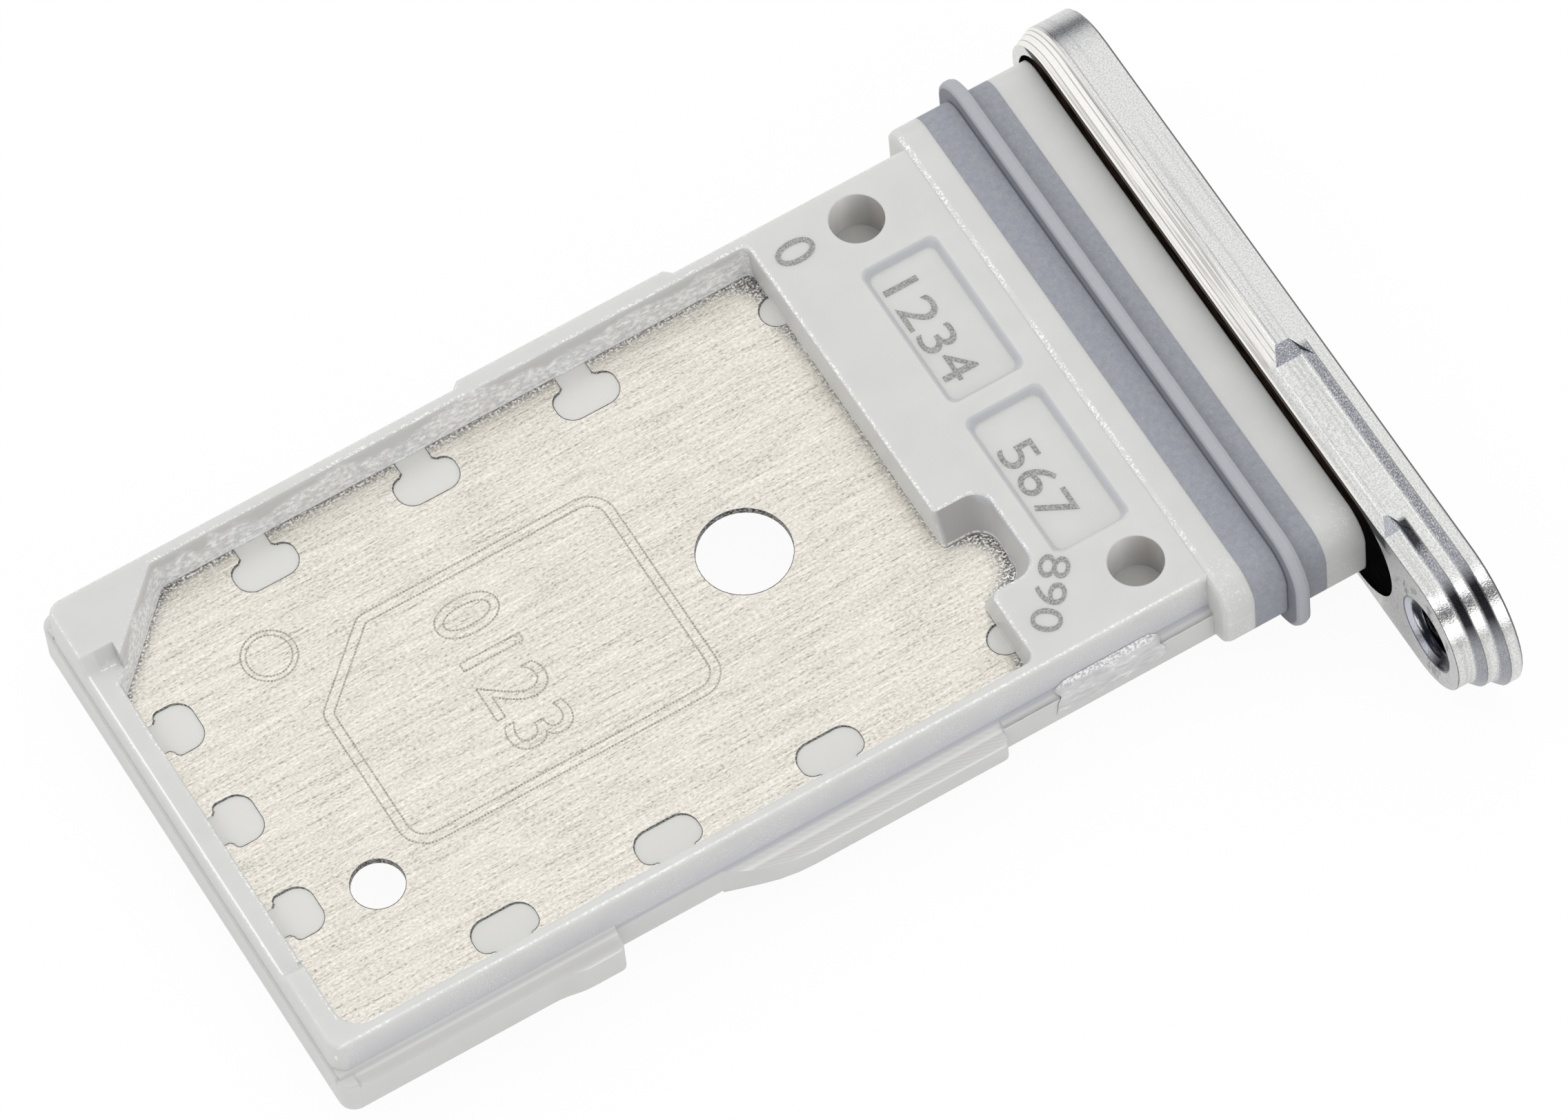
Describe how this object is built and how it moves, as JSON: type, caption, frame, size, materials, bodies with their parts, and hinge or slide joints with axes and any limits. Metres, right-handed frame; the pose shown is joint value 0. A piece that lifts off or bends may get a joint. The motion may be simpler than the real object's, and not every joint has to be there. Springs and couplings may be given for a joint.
{
  "type": "sim card tray",
  "caption": "Slim slide-in card tray for a phone: white plastic frame round a thin steel plate, card pocket on each face, sealing lip and pill-shaped metal front with a pin hole.",
  "frame": {"origin": "under the middle of the whole tray, at the height of the bezel's lowest edge", "axes": "+X along the tray towards the bezel, +Y across the tray away from the pin hole, +Z out of the upper card pocket"},
  "size_m": [0.0198, 0.0142, 0.0031],
  "materials": {
    "white_plastic": "satin moulded",
    "brushed_plate": "brushed along the tray, with a laser-marked outline",
    "grey_silicone": "matte",
    "silver_bezel": "bead-blasted, with bright turned cuts",
    "black_gasket": "matte"
  },
  "bodies": {
    "root": {"tray_body": "white_plastic", "card_plate": "brushed_plate", "seal_ring": "grey_silicone", "front_bezel": "silver_bezel", "bezel_gasket": "black_gasket"}
  },
  "joints": []
}
